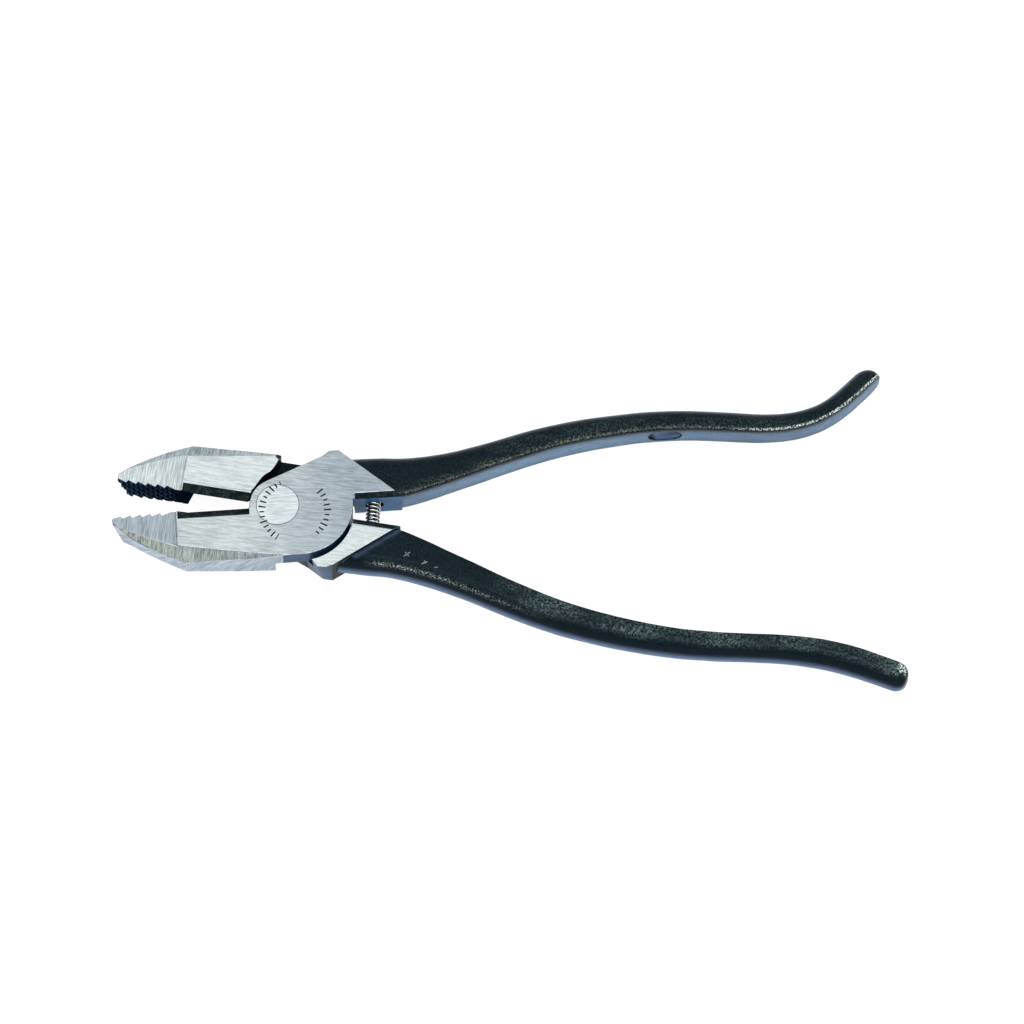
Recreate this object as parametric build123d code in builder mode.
"""Lineman pliers: two forged halves lapped on a hot rivet, with a coil return spring.

Each half is drawn in its own closed frame: the rivet's axis is +Z through the origin, the back
of the head lies at z = 0, the handles run towards +X and the jaws meet on the plane y = 0.
The halves are then turned about the rivet, half of the rest opening each way.
Millimetres and degrees.
"""
import os
from math import atan2, cos, degrees, radians, sin, sqrt, tan

from build123d import *

os.makedirs("parts", exist_ok=True)

# Head and lap joint
HEAD_THICKNESS = 12.5
LAP_HEIGHT = HEAD_THICKNESS / 2
LAP_GAP = 0.06
REST_OPENING = 13.2
FACE_GAP = 0.05
# Half width of the cutters that run right across a half
CLEAR = 20.0

# Rivet and the round end of each lap plate
RIVET_RADIUS = 4.8
RIVET_HEAD_RADIUS = 6.1
RIVET_HEAD_DEPTH = 2.6
RIVET_CLEARANCE = 0.03
PLATE_RADIUS = 8.15
PLATE_EDGE_ANGLE = 22
STEP_RADIUS = 8.7
STEP_ANGLE = 149
# Wall of the pocket from the round step out to the jaw's rear corner
STEP_WALL = [(-6.6, 6.35), (-5.25, 8.65), (-3.85, 10.0), (-3.0, 11.4), (-2.3, 13.2)]

# Boss behind the rivet, and the wall of the other half that surrounds it
BOSS_X = 6.35
BOSS_Y = 0.3
BOSS_RADIUS = 15.4
BOSS_WALL_RADIUS = 16.0
BOSS_BOTTOM = BOSS_RADIUS + BOSS_Y
LAP_CLEAR_X = -12.0

# Jaws: the two differ a little, by x of the tip, x of the nose step and the nose's bulge
HOOK_JAW = (-48.0, -29.4, 0.7)
STRAIGHT_JAW = (-47.2, -28.4, 1.1)
TIP_WIDTH = 2.4
# The tip's blunt front, and how far the tip leans back from there to the back face
TIP_FLAT = 0.5
TIP_SETBACK = 3.2
CORNER_X = -27.4
CORNER_Y = 15.25
EDGE_END_X = -8.0
# The straight jaw's broken rear corner: points on its wall, on its outer edge and on its corner
CORNER_BREAK = [(-1.9, 13.8, 12.5), (-3.6, 15.1, 12.5), (-1.65, 15.7, 11.2)]
CORNER_REACH = 8.0
STEP_CORNER_X = -1.65
NOSE_STEP = 0.45
NOSE_TAPER = 0.5
# Knife: its front bevel and the long relief behind it, each with a raked end by the teeth
KNIFE_START = 3.8
KNIFE_DEPTH = 1.5
KNIFE_BEVEL = 2.3
KNIFE_RAKE = 6.8
KNIFE_TIP_X = -36.0
KNIFE_OVERLAP = 0.3
RELIEF_WIDTH = 5.4
RELIEF_RAKE = 2.4
# Teeth: two crossing families of saw teeth on a biting face that twists a little
TEETH_TWIST = 0.9
TOOTH_PITCH = 2.83
TOOTH_DEPTH = 0.85
TOOTH_RUN = 0.35
TOOTH_SLANT = 48.5
TOOTH_FIRST = -11
TOOTH_LAST = 6
HEEL_LENGTH = 1.9

# Handle roots
ROOT_FACE = 0.47
ROOT_END_X = 36.1
SHOULDER_X = 18.65
SHOULDER_Y = 15.9
SHOULDER_FLAT = 2.75
SHOULDER_START_X = 13.75
# Outline of the straight half's shoulder on the back and on the front face
SHOULDER_BACK = [(10.5, -12.9), (15.9, -15.9), (18.65, -15.9), (19.6, -14.5), (14.0, -10.0)]
SHOULDER_FRONT = [(10.5, -12.95), (14.5, -17.0), (17.0, -16.8), (19.6, -14.9), (14.0, -10.0)]
INNER_BEVEL = 1.8
INNER_BEVEL_DEPTH = 0.9

# Return spring and its sockets
SPRING_X = 28.1
SPRING_RADIUS = 2.15
WIRE_DIAMETER = 0.75
SOCKET_RADIUS = 2.7
SOCKET_DEPTH = 6.2
SPRING_SEAT = 5.6
SPRING_TURNS = 16

# Oval recess in the hooked handle
RECESS_X = 113.6
RECESS_Y = 16.4
RECESS_LENGTH = 10.0
RECESS_WIDTH = 6.5
RECESS_DEPTH = 0.6

# Handle section: corner chamfer, length of the rounded outer side and its shoulder point
SECTION_CORNER = 0.9
SECTION_CROWN = 4.4
CROWN_SHOULDER = 0.71
# Rounded ends: length, and how far the inner wall, the outer side and each face draw in
HOOK_END = (4.6, 0.4, 3.6, 2.8)
STRAIGHT_END = (3.4, 2.6, 3.0, 3.0)

# Handle stations along the inner wall: x, distance of the wall from y = 0, width, thickness
HOOK_STATIONS = [
    (20.0, 0.6, 14.0, 10.6),
    (27.0, 0.6, 13.9, 10.7),
    (33.5, 0.7, 13.6, 10.8),
    (42.0, 2.2, 12.0, 11.0),
    (53.0, 5.3, 9.9, 11.0),
    (66.0, 9.15, 8.7, 10.9),
    (81.0, 13.1, 8.15, 10.7),
    (97.0, 15.55, 7.6, 10.5),
    (114.0, 16.4, 7.15, 10.3),
    (130.0, 15.25, 6.9, 10.2),
    (144.0, 13.9, 6.7, 10.1),
    (153.5, 14.6, 6.4, 10.0),
    (161.5, 17.3, 6.1, 10.0),
    (174.1, 26.5, 6.1, 10.0),
]
STRAIGHT_STATIONS = [
    (20.0, 0.6, 14.4, 10.6),
    (26.5, 0.6, 14.2, 10.7),
    (32.5, 0.8, 13.8, 10.8),
    (42.0, 2.9, 12.1, 11.0),
    (54.5, 6.7, 10.1, 11.0),
    (67.0, 10.55, 9.2, 10.9),
    (79.5, 14.0, 8.75, 10.7),
    (94.0, 16.75, 8.2, 10.5),
    (109.0, 18.15, 7.7, 10.3),
    (124.0, 18.25, 7.2, 10.2),
    (140.0, 16.75, 6.9, 10.1),
    (155.0, 15.1, 7.1, 10.0),
    (170.0, 15.5, 7.4, 10.0),
    (185.0, 18.4, 7.2, 10.0),
]

# Bevel stations along each jaw's outer edge, from the joint to the tip:
# where it leaves the face, where it meets the side, and how deep it is there
HOOK_BEVEL = [
    ((2.0, 15.6), (2.0, 15.95), 0.4),
    ((-17.0, 12.8), (-17.2, 15.55), 2.15),
    ((-28.6, 10.7), (-27.6, 15.25), 3.1),
    ((-37.0, 7.6), (-37.8, 9.4), 3.15),
    ((-48.2, 2.4), (-48.6, 2.95), 3.6),
]
STRAIGHT_BEVEL = [
    ((2.0, 15.6), (2.0, 15.95), 0.4),
    ((-17.0, 12.8), (-17.2, 15.55), 2.15),
    ((-28.6, 10.9), (-27.6, 15.25), 2.9),
    ((-37.0, 7.5), (-37.8, 9.5), 2.0),
    ((-48.0, 1.9), (-48.4, 2.95), 1.2),
]
BEVEL_LEAD = 0.5
BEVEL_OVERRUN = 4.0


def polar(radius, angle):
    """Point at a radius and an angle about the rivet."""
    return (radius * cos(radians(angle)), radius * sin(radians(angle)))


def head_outline(side, jaw):
    """Outline of a jaw with its lap plate and handle root; side is the sign of the handle's y."""
    tip_x, _, bulge = jaw
    nose_middle = ((tip_x + CORNER_X) / 2 - bulge / 2, (TIP_WIDTH + CORNER_Y) / 2 + bulge)
    edge_start = polar(PLATE_RADIUS, 90 + PLATE_EDGE_ANGLE)
    arc_middle = polar(PLATE_RADIUS, 135 + PLATE_EDGE_ANGLE / 2)
    edge_run = SHOULDER_START_X - edge_start[0]
    shoulder_start_y = edge_start[1] + edge_run * tan(radians(PLATE_EDGE_ANGLE))
    boss_end_x = BOSS_X + sqrt(BOSS_RADIUS**2 - (BOSS_Y + ROOT_FACE) ** 2)
    boss_slope = BOSS_RADIUS * sin(radians(45))
    with BuildSketch() as outline:
        with BuildLine():
            Polyline(
                (-PLATE_RADIUS, 0),
                (-PLATE_RADIUS, -side * FACE_GAP),
                (tip_x, -side * FACE_GAP),
                (tip_x, -side * TIP_WIDTH),
            )
            ThreePointArc(
                (tip_x, -side * TIP_WIDTH),
                (nose_middle[0], -side * nose_middle[1]),
                (CORNER_X, -side * CORNER_Y),
            )
            Polyline(
                (CORNER_X, -side * CORNER_Y),
                (EDGE_END_X, -side * (BOSS_BOTTOM + 0.1)),
                (BOSS_X, -side * BOSS_BOTTOM),
            )
            ThreePointArc(
                (BOSS_X, -side * BOSS_BOTTOM),
                (BOSS_X + boss_slope, -side * (BOSS_Y + boss_slope)),
                (boss_end_x, side * ROOT_FACE),
            )
            Polyline(
                (boss_end_x, side * ROOT_FACE),
                (ROOT_END_X, side * ROOT_FACE),
                (SHOULDER_X, side * SHOULDER_Y),
                (SHOULDER_X - SHOULDER_FLAT, side * SHOULDER_Y),
                (SHOULDER_START_X, side * shoulder_start_y),
                (edge_start[0], side * edge_start[1]),
            )
            ThreePointArc(
                (edge_start[0], side * edge_start[1]),
                (arc_middle[0], side * arc_middle[1]),
                (-PLATE_RADIUS, 0),
            )
        make_face()
    return outline.sketch


def lap_outline(side):
    """Outline of the pocket that takes the other half's lap plate."""
    wall_start = polar(STEP_RADIUS, STEP_ANGLE)
    wall_middle = polar(STEP_RADIUS, (180 + STEP_ANGLE) / 2)
    wall_curve = [(x, -side * y) for x, y in [wall_start] + STEP_WALL + [(STEP_CORNER_X, CORNER_Y)]]
    boss_wall = []
    for angle in (0, 40, 75):
        x, y = polar(BOSS_WALL_RADIUS, angle)
        boss_wall.append((BOSS_X + x, BOSS_Y + y))
    with BuildSketch() as outline:
        with BuildLine():
            ThreePointArc(
                (-STEP_RADIUS, 0),
                (wall_middle[0], -side * wall_middle[1]),
                (wall_start[0], -side * wall_start[1]),
            )
            Spline(wall_curve)
            Polyline(
                wall_curve[-1],
                (STEP_CORNER_X, -side * CLEAR),
                (boss_wall[0][0], -side * CLEAR),
                (boss_wall[0][0], side * boss_wall[0][1]),
            )
            ThreePointArc(*[(x, side * y) for x, y in boss_wall])
            Polyline(
                (boss_wall[2][0], side * boss_wall[2][1]),
                (boss_wall[2][0], side * CLEAR),
                (LAP_CLEAR_X, side * CLEAR),
                (LAP_CLEAR_X, 0),
                (-STEP_RADIUS, 0),
            )
        make_face()
    return outline.sketch


def edge_bevel(side, stations, back):
    """Cutter for the bevel round the outer edge of a jaw, on the front or the back face."""
    face_z = 0.0 if back else HEAD_THICKNESS
    outward = -1 if back else 1
    with BuildPart() as cutter:
        for stretch in zip(stations, stations[1:]):
            for inner, outer, depth in stretch:
                across = Vector(outer[0] - inner[0], -side * (outer[1] - inner[1]), 0)
                width = across.length
                lean = min(depth / width, 1.0) * BEVEL_LEAD
                station = Plane(
                    origin=(inner[0], -side * inner[1], face_z),
                    x_dir=across,
                    z_dir=across.cross(Vector(0, 0, 1)),
                )
                with BuildSketch(station):
                    with BuildLine():
                        Polyline(
                            (0, 0),
                            (width, -outward * depth),
                            (width + BEVEL_LEAD, -outward * (depth + lean)),
                            (width + BEVEL_OVERRUN, -outward * (depth + lean)),
                            (width + BEVEL_OVERRUN, outward),
                            (0, outward),
                            close=True,
                        )
                    make_face()
            loft(ruled=True)
    return cutter.part


def corner_break():
    """Cutter that breaks the straight half's rear outer jaw corner, in front of its lap plate."""
    on_wall, on_edge, on_corner = [Vector(*point) for point in CORNER_BREAK]
    normal = (on_edge - on_wall).cross(on_corner - on_wall)
    if normal.Z < 0:
        normal = normal * -1
    with BuildPart() as cutter:
        with BuildSketch(Plane(origin=on_edge, z_dir=normal)):
            Rectangle(CORNER_REACH, CORNER_REACH)
        extrude(amount=CORNER_REACH)
        with BuildSketch(Plane.XY.offset(LAP_HEIGHT)):
            with Locations((on_edge.X, on_edge.Y)):
                Rectangle(CORNER_REACH, CORNER_REACH)
        extrude(amount=HEAD_THICKNESS, mode=Mode.INTERSECT)
    return cutter.part


def shoulder():
    """The straight half's shoulder, which stands further out on the front face than on the back."""
    with BuildPart() as block:
        for height, corners in ((0.0, SHOULDER_BACK), (HEAD_THICKNESS, SHOULDER_FRONT)):
            with BuildSketch(Plane.XY.offset(height)):
                with BuildLine():
                    Polyline(*corners, close=True)
                make_face()
        loft(ruled=True)
    return block.part


def tooth_comb(side, lean, heel_x):
    """Cutter for one of the two diagonal families of teeth; lean is +1 or -1, its slope."""
    along = Vector(cos(radians(TOOTH_SLANT)), 0, lean * sin(radians(TOOTH_SLANT)))
    towards_joint = Vector(sin(radians(TOOTH_SLANT)), 0, -lean * cos(radians(TOOTH_SLANT)))
    pitch = TOOTH_PITCH * sin(radians(TOOTH_SLANT))
    into_jaw = -side * lean
    crossing = Vector(heel_x, 0, HEAD_THICKNESS - NOSE_STEP - NOSE_TAPER / 2)
    profile = []
    for tooth in range(TOOTH_FIRST, TOOTH_LAST):
        crest = tooth * pitch
        profile.append((crest, into_jaw * FACE_GAP))
        profile.append((crest + TOOTH_RUN, into_jaw * (FACE_GAP + TOOTH_DEPTH)))
    end = TOOTH_LAST * pitch
    profile.append((end, into_jaw * FACE_GAP))
    profile.append((end, -into_jaw))
    profile.append((TOOTH_FIRST * pitch, -into_jaw))
    reach = 2 * CLEAR
    with BuildPart() as comb:
        with BuildSketch(Plane(origin=crossing - along * reach, x_dir=towards_joint, z_dir=along)):
            with BuildLine():
                Polyline(*profile, close=True)
            make_face()
        extrude(amount=2 * reach)
        with BuildSketch(Plane.XZ.offset(-CLEAR)):
            with Locations((heel_x - reach / 2, LAP_HEIGHT)):
                Rectangle(reach, 2 * HEAD_THICKNESS)
        extrude(amount=2 * CLEAR, mode=Mode.INTERSECT)
    return comb.part


def knife_cutters(side, step_x):
    """Cutters for the front bevel of the knife and for the long relief behind its edge."""
    start = step_x + KNIFE_START
    end = KNIFE_OVERLAP - STEP_RADIUS
    edge_z = HEAD_THICKNESS - KNIFE_DEPTH
    slope = KNIFE_DEPTH / (KNIFE_BEVEL - FACE_GAP)
    over = 1.0
    with BuildPart() as bevel:
        with BuildSketch(Plane.YZ.offset(KNIFE_TIP_X)):
            with BuildLine():
                Polyline(
                    (side * over, edge_z - slope * over),
                    (-side * (KNIFE_BEVEL + over), HEAD_THICKNESS + slope * over),
                    (side * over, HEAD_THICKNESS + slope * over),
                    close=True,
                )
            make_face()
        extrude(amount=end - KNIFE_TIP_X)
        with BuildSketch(Plane.XZ.offset(-CLEAR)):
            with BuildLine():
                Polyline(
                    (start - KNIFE_RAKE, HEAD_THICKNESS + KNIFE_DEPTH),
                    (start, edge_z),
                    (start, LAP_HEIGHT),
                    (end, LAP_HEIGHT),
                    (end, HEAD_THICKNESS + KNIFE_DEPTH),
                    close=True,
                )
            make_face()
        extrude(amount=2 * CLEAR, mode=Mode.INTERSECT)
    with BuildPart() as relief:
        with BuildSketch(Plane.YZ.offset(KNIFE_TIP_X)):
            with BuildLine():
                Polyline(
                    (-side * FACE_GAP, edge_z),
                    (side * over, edge_z),
                    (side * over, -over),
                    (-side * (RELIEF_WIDTH + RELIEF_WIDTH / edge_z), -over),
                    close=True,
                )
            make_face()
        extrude(amount=-PLATE_RADIUS - KNIFE_TIP_X)
        with BuildSketch(Plane.XZ.offset(-CLEAR)):
            with BuildLine():
                Polyline(
                    (start, edge_z),
                    (start - RELIEF_RAKE, -over),
                    (-PLATE_RADIUS, -over),
                    (-PLATE_RADIUS, edge_z),
                    close=True,
                )
            make_face()
        extrude(amount=2 * CLEAR, mode=Mode.INTERSECT)
    return [bevel.part, relief.part]


def biting_twist(side, tip_x, heel_x):
    """Cutter for the biting face's twist: the face falls away towards the back of its heel."""
    tip_back = Vector(tip_x, -side * FACE_GAP, 0)
    heel_front = Vector(heel_x, -side * FACE_GAP, HEAD_THICKNESS)
    heel_back = Vector(heel_x, -side * (FACE_GAP + TEETH_TWIST), 0)
    normal = (heel_front - tip_back).cross(heel_back - tip_back)
    if normal.Y * side < 0:
        normal = normal * -1
    length = heel_x - tip_x
    with BuildPart() as cutter:
        with BuildSketch(Plane(origin=tip_back, z_dir=normal)):
            Rectangle(3 * length, 3 * length)
        extrude(amount=TEETH_TWIST * 2)
        with BuildSketch(Plane.XY.offset(-1)):
            with Locations((tip_x + length / 2 - 1, 0)):
                Rectangle(length + 2, 4 * TEETH_TWIST)
        extrude(amount=HEAD_THICKNESS + 2, mode=Mode.INTERSECT)
    return cutter.part


def forged_head(side, jaw, bevel):
    """Jaw, lap plate and handle root of one half, before its lap pocket is cut."""
    tip_x, step_x, _ = jaw
    outline = head_outline(side, jaw)
    bevels = [edge_bevel(side, bevel, back) for back in (False, True)]
    knife = knife_cutters(side, step_x)
    combs = [tooth_comb(side, lean, step_x - HEEL_LENGTH) for lean in (1, -1)]
    twist = biting_twist(side, tip_x, step_x + KNIFE_START)
    with BuildPart() as head:
        add(outline)
        extrude(amount=HEAD_THICKNESS)
        # The nose is ground a little thinner than the head, on both faces
        for face_z, inward in ((0.0, 1), (HEAD_THICKNESS, -1)):
            with BuildSketch(Plane.XZ.offset(-CLEAR)):
                with BuildLine():
                    Polyline(
                        (step_x, face_z - inward),
                        (step_x, face_z + inward * NOSE_STEP),
                        (tip_x - 1, face_z + inward * (NOSE_STEP + NOSE_TAPER)),
                        (tip_x - 1, face_z - inward),
                        close=True,
                    )
                make_face()
            extrude(amount=2 * CLEAR, mode=Mode.SUBTRACT)
        # The tip leans back from the front face to the back face
        blunt_z = HEAD_THICKNESS - NOSE_STEP - NOSE_TAPER - TIP_FLAT
        with BuildSketch(Plane.XZ.offset(-CLEAR)):
            with BuildLine():
                Polyline(
                    (tip_x, blunt_z),
                    (tip_x + TIP_SETBACK, 0),
                    (tip_x - 2, 0),
                    (tip_x - 2, blunt_z),
                    close=True,
                )
            make_face()
        extrude(amount=2 * CLEAR, mode=Mode.SUBTRACT)
        for cutter in bevels + knife + combs + [twist]:
            add(cutter, mode=Mode.SUBTRACT)
        # Bevels along the inner face behind the joint, front and back
        with BuildSketch(Plane.YZ.offset(BOSS_X + BOSS_WALL_RADIUS)):
            for face_z, inward in ((0.0, 1), (HEAD_THICKNESS, -1)):
                with BuildLine():
                    Polyline(
                        (side * ROOT_FACE, face_z + inward * INNER_BEVEL_DEPTH),
                        (side * (ROOT_FACE + INNER_BEVEL), face_z),
                        (side * ROOT_FACE, face_z - inward),
                        (-side, face_z - inward),
                        (-side, face_z + inward * INNER_BEVEL_DEPTH),
                        close=True,
                    )
                make_face()
        extrude(amount=ROOT_END_X - BOSS_X - BOSS_WALL_RADIUS + 1, mode=Mode.SUBTRACT)
    return head.part


def handle_section(wall, heading, side, width, thickness):
    """D-shaped section of a handle: flat inner wall, soft inner corners, rounded outer side."""
    half = thickness / 2
    corner = min(SECTION_CORNER, half / 2)
    crown = min(SECTION_CROWN, width - 2 * corner)
    turn = degrees(atan2(heading.Y, heading.X)) + side * 90
    section = Plane(origin=wall, x_dir=(cos(radians(turn)), sin(radians(turn)), 0), z_dir=heading)
    with BuildSketch(section) as profile:
        with BuildLine():
            Line((0, -half + corner), (0, half - corner))
            Line((0, half - corner), (corner, half))
            Line((corner, half), (width - crown, half))
            Spline(
                [
                    (width - crown, half),
                    (width - crown * (1 - CROWN_SHOULDER), half * CROWN_SHOULDER),
                    (width, 0),
                    (width - crown * (1 - CROWN_SHOULDER), -half * CROWN_SHOULDER),
                    (width - crown, -half),
                ],
                tangents=[(1, 0), (-1, 0)],
            )
            Line((width - crown, -half), (corner, -half))
            Line((corner, -half), (0, -half + corner))
        make_face()
    return profile.sketch


def handle(stations, side, end):
    """Handle bar lofted through its stations, and its rounded end."""
    count = len(stations)
    walls = [Vector(x, side * y, LAP_HEIGHT) for x, y, _, _ in stations]
    headings = []
    for i in range(count):
        before = walls[max(i - 1, 0)]
        after = walls[min(i + 1, count - 1)]
        headings.append((after - before).normalized())
    headings[0] = Vector(1, 0, 0)
    bar_sections = []
    for wall, heading, (_, _, width, thickness) in zip(walls, headings, stations):
        bar_sections.append(handle_section(wall, heading, side, width, thickness))
    heading = headings[-1]
    outward = Vector(-heading.Y * side, heading.X * side, 0)
    _, _, end_width, end_thickness = stations[-1]
    end_length, inner_inset, outer_inset, face_inset = end
    cap_sections = []
    for angle in (0, 25, 50, 72, 88):
        reach = end_length * sin(radians(angle))
        draw = 1 - cos(radians(angle))
        origin = walls[-1] + heading * reach + outward * (inner_inset * draw)
        width = end_width - (inner_inset + outer_inset) * draw
        thickness = end_thickness - 2 * face_inset * draw
        cap_sections.append(handle_section(origin, heading, side, width, thickness))
    with BuildPart() as bar:
        add(bar_sections)
        loft()
        add(cap_sections)
        loft()
    return bar.part


def socket(side):
    """Blind drilled socket that seats one end of the spring."""
    mouth = Plane(origin=(SPRING_X, side * (ROOT_FACE - 1), LAP_HEIGHT), z_dir=(0, side, 0))
    with BuildPart() as drilled:
        with BuildSketch(mouth):
            Circle(SOCKET_RADIUS)
        extrude(amount=SOCKET_DEPTH + 1)
    return drilled.part


def rivet_solid(clearance):
    """Rivet with flush, countersunk heads, or its bore when there is a clearance."""
    shank = RIVET_RADIUS + clearance
    head = RIVET_HEAD_RADIUS + clearance
    with BuildPart() as solid:
        with BuildSketch(Plane.XZ):
            with BuildLine():
                Polyline(
                    (0, 0),
                    (head, 0),
                    (shank, RIVET_HEAD_DEPTH),
                    (shank, HEAD_THICKNESS - RIVET_HEAD_DEPTH),
                    (head, HEAD_THICKNESS),
                    (0, HEAD_THICKNESS),
                    close=True,
                )
            make_face()
        revolve(axis=Axis.Z)
    return solid.part


def forged_half(side, jaw, bevel, stations, end, lap_low, lap_high, clearance):
    """One forged half in its closed frame; its lap pocket runs from lap_low to lap_high."""
    head = forged_head(side, jaw, bevel)
    pocket = lap_outline(side)
    bar = handle(stations, side, end)
    seat = socket(side)
    bore = rivet_solid(clearance)
    extras = [shoulder()] if side < 0 else []
    with BuildPart() as half:
        add([head, bar] + extras)
        with BuildSketch(Plane.XY.offset(lap_low)):
            add(pocket)
        extrude(amount=lap_high - lap_low, mode=Mode.SUBTRACT)
        add(seat, mode=Mode.SUBTRACT)
        add(bore, mode=Mode.SUBTRACT)
    return half.part


# ---------------------------------------------------------------- hooked half: front lap plate
hook_closed = forged_half(
    1, HOOK_JAW, HOOK_BEVEL, HOOK_STATIONS, HOOK_END, -1.0, LAP_HEIGHT + LAP_GAP / 2, RIVET_CLEARANCE
)
recess_wall = Plane(origin=(RECESS_X, RECESS_Y, LAP_HEIGHT), x_dir=(1, 0, 0), z_dir=(0, 1, 0))
with BuildPart() as recessed:
    add(hook_closed)
    with BuildSketch(recess_wall.offset(-3)):
        SlotOverall(RECESS_LENGTH, RECESS_WIDTH)
    extrude(amount=3 + RECESS_DEPTH, mode=Mode.SUBTRACT)
with BuildPart() as hook_handle_half:
    add(recessed.part, rotation=(0, 0, REST_OPENING / 2))
hook_handle_half.part.label = "hook_handle_half"
export_step(hook_handle_half.part, "parts/hook_handle_half.step")

# ---------------------------------------------------------------- straight half: back lap plate
straight_closed = forged_half(
    -1,
    STRAIGHT_JAW,
    STRAIGHT_BEVEL,
    STRAIGHT_STATIONS,
    STRAIGHT_END,
    LAP_HEIGHT - LAP_GAP / 2,
    HEAD_THICKNESS + 1,
    0.0,
)
rear_corner = corner_break()
with BuildPart() as straight_broken:
    add(straight_closed)
    add(rear_corner, mode=Mode.SUBTRACT)
with BuildPart() as straight_handle_half:
    add(straight_broken.part, rotation=(0, 0, -REST_OPENING / 2))
straight_handle_half.part.label = "straight_handle_half"
export_step(straight_handle_half.part, "parts/straight_handle_half.step")

# ---------------------------------------------------------------- rivet
rivet = rivet_solid(0.0)
with BuildPart() as pivot_rivet:
    add(rivet)
pivot_rivet.part.label = "pivot_rivet"
export_step(pivot_rivet.part, "parts/pivot_rivet.step")

# ---------------------------------------------------------------- return spring
half_turn = radians(REST_OPENING / 2)
spring_mouth_x = SPRING_X * cos(half_turn)
spring_half_length = (SPRING_X * sin(half_turn)) + (ROOT_FACE + SPRING_SEAT) * cos(half_turn)
coil_radius = SPRING_RADIUS - WIRE_DIAMETER / 2
spring_centre_x = spring_mouth_x - (ROOT_FACE + SPRING_SEAT / 2) * sin(half_turn)
with BuildPart() as return_spring:
    with BuildLine() as coil:
        Helix(
            pitch=2 * spring_half_length / SPRING_TURNS,
            height=2 * spring_half_length,
            radius=coil_radius,
            center=(spring_centre_x, -spring_half_length, LAP_HEIGHT),
            direction=(0, 1, 0),
        )
    with BuildSketch(Plane(coil.line @ 0, z_dir=coil.line % 0)):
        Circle(WIRE_DIAMETER / 2)
    sweep(is_frenet=True)
return_spring.part.label = "return_spring"
export_step(return_spring.part, "parts/return_spring.step")
